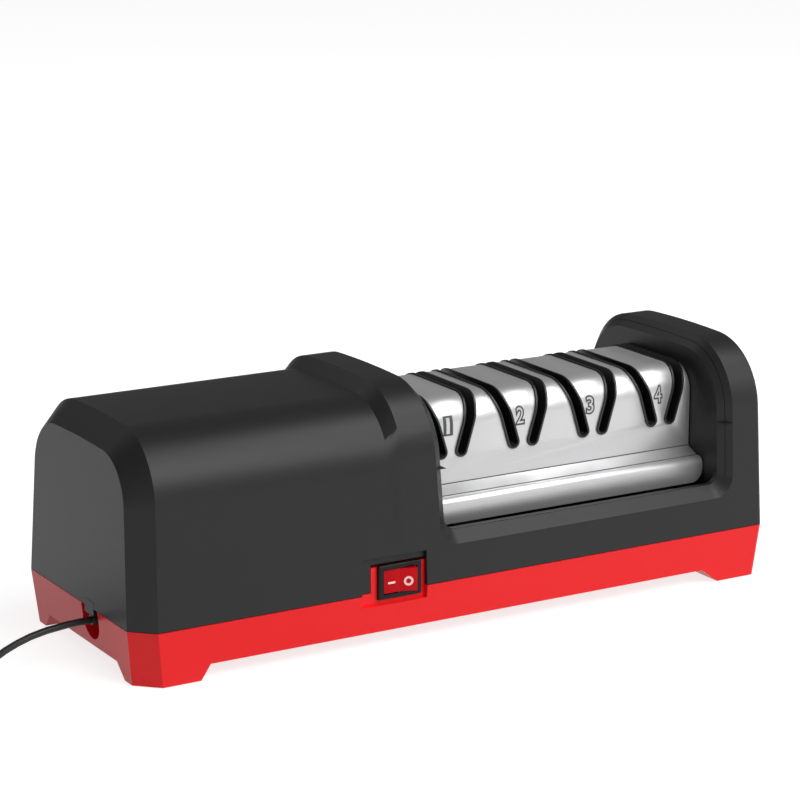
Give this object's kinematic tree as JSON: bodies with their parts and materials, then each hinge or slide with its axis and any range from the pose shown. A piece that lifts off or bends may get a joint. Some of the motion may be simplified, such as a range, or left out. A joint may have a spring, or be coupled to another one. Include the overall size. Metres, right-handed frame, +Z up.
{
  "type": "electric knife sharpener",
  "caption": "Charcoal and red tabletop electric knife sharpener with a brushed steel guide, slanted blade slots, a rocker switch and spring-loaded grinding discs on one driven shaft.",
  "frame": {"origin": "middle of the footprint, at the table", "axes": "+X along the body towards the grinding end, -Y is the front with the switch, +Z up"},
  "size_m": [0.4174, 0.1182, 0.1098],
  "materials": {
    "charcoal_abs": "fine-grained moulding",
    "red_abs": "satin moulding",
    "cover_steel": "brushed across the top and down the faces",
    "black_nylon": "moulded",
    "switch_black": "smooth moulding",
    "rocker_red": "glossy moulding",
    "pad_rubber": "plain",
    "cord_pvc": "smooth PVC sheath",
    "wire_red": "smooth",
    "wire_black": "smooth",
    "zinc_steel": "zinc plated",
    "plain_steel": "turned or rolled",
    "copper": "bare copper",
    "sintered_bronze": "sintered",
    "carbon": "pressed carbon",
    "ferrite": "pressed ferrite",
    "brass_plated": "nickel-plated brass",
    "grit_coarse": "coarse diamond grit on steel",
    "grit_medium": "medium diamond grit on steel",
    "grit_fine": "fine diamond grit on steel",
    "polish_bond": "flexible abrasive bond"
  },
  "bodies": {
    "root": {"base_tray": "red_abs", "upper_housing": "charcoal_abs", "guide_cover": "cover_steel", "slot_guide": "black_nylon", "guide_screws": "zinc_steel", "foot_pads": "pad_rubber", "base_screws": "zinc_steel", "floor_screws": "zinc_steel", "bearing_block_left": "black_nylon", "bearing_block_right": "black_nylon", "shaft_bushes": "sintered_bronze", "motor_can": "plain_steel", "motor_end_cap": "black_nylon", "motor_magnets": "ferrite", "motor_brushes": "carbon", "motor_terminals": "copper", "motor_bushes": "sintered_bronze", "motor_bracket": "zinc_steel", "motor_screws": "zinc_steel", "motor_saddle": "black_nylon", "motor_strap": "zinc_steel", "switch_body": "switch_black", "switch_terminals": "brass_plated", "cord_grommet": "cord_pvc", "lead_inner": "cord_pvc", "cord_clamp": "black_nylon", "clamp_screws": "zinc_steel", "wire_feed": "wire_red", "wire_link": "wire_red", "wire_return": "wire_black", "lead": "cord_pvc", "lead_coil": "cord_pvc", "lead_tail": "cord_pvc", "plug_body": "cord_pvc", "plug_barrel": "brass_plated"},
    "spindle": {"grinding_shaft": "plain_steel", "spacer_sleeves": "plain_steel", "shaft_clips": "zinc_steel", "motor_shaft": "plain_steel", "armature_core": "plain_steel", "armature_winding": "copper", "commutator": "copper", "shaft_coupling": "plain_steel", "coupling_screws": "zinc_steel", "coarse_spring": "plain_steel", "medium_spring": "plain_steel", "fine_spring": "plain_steel", "polish_spring": "plain_steel"},
    "coarse_disc_left": {"coarse_disc_left": "grit_coarse"},
    "coarse_disc_right": {"coarse_disc_right": "grit_coarse"},
    "medium_disc_left": {"medium_disc_left": "grit_medium"},
    "medium_disc_right": {"medium_disc_right": "grit_medium"},
    "fine_disc_left": {"fine_disc_left": "grit_fine"},
    "fine_disc_right": {"fine_disc_right": "grit_fine"},
    "polish_disc_left": {"polish_disc_left": "polish_bond"},
    "polish_disc_right": {"polish_disc_right": "polish_bond"},
    "rocker": {"rocker": "rocker_red", "rocker_pin": "plain_steel"}
  },
  "joints": [
    {"name": "spindle_spin", "type": "hinge", "parent": "root", "child": "spindle", "pos_m": [0, 0, 0.05], "axis": [1, 0, 0], "continuous": true},
    {"name": "coarse_left_slide", "type": "slide", "parent": "spindle", "child": "coarse_disc_left", "axis": [1, 0, 0], "range_m": [0, 0.001], "stiffness_N_per_m": 2000, "springref_m": -0.001, "deforming": ["coarse_spring"]},
    {"name": "coarse_right_slide", "type": "slide", "parent": "spindle", "child": "coarse_disc_right", "axis": [-1, 0, 0], "range_m": [0, 0.001], "stiffness_N_per_m": 2000, "springref_m": -0.001, "deforming": ["coarse_spring"]},
    {"name": "medium_left_slide", "type": "slide", "parent": "spindle", "child": "medium_disc_left", "axis": [1, 0, 0], "range_m": [0, 0.001], "stiffness_N_per_m": 2000, "springref_m": -0.001, "deforming": ["medium_spring"]},
    {"name": "medium_right_slide", "type": "slide", "parent": "spindle", "child": "medium_disc_right", "axis": [-1, 0, 0], "range_m": [0, 0.001], "stiffness_N_per_m": 2000, "springref_m": -0.001, "deforming": ["medium_spring"]},
    {"name": "fine_left_slide", "type": "slide", "parent": "spindle", "child": "fine_disc_left", "axis": [1, 0, 0], "range_m": [0, 0.001], "stiffness_N_per_m": 2000, "springref_m": -0.001, "deforming": ["fine_spring"]},
    {"name": "fine_right_slide", "type": "slide", "parent": "spindle", "child": "fine_disc_right", "axis": [-1, 0, 0], "range_m": [0, 0.001], "stiffness_N_per_m": 2000, "springref_m": -0.001, "deforming": ["fine_spring"]},
    {"name": "polish_left_slide", "type": "slide", "parent": "spindle", "child": "polish_disc_left", "axis": [1, 0, 0], "range_m": [0, 0.001], "stiffness_N_per_m": 2000, "springref_m": -0.001, "deforming": ["polish_spring"]},
    {"name": "polish_right_slide", "type": "slide", "parent": "spindle", "child": "polish_disc_right", "axis": [-1, 0, 0], "range_m": [0, 0.001], "stiffness_N_per_m": 2000, "springref_m": -0.001, "deforming": ["polish_spring"]},
    {"name": "rocker_tilt", "type": "hinge", "parent": "root", "child": "rocker", "pos_m": [-0.0343, -0.0562, 0.0287], "axis": [0, 0, 1], "range_deg": [0, 20]}
  ]
}
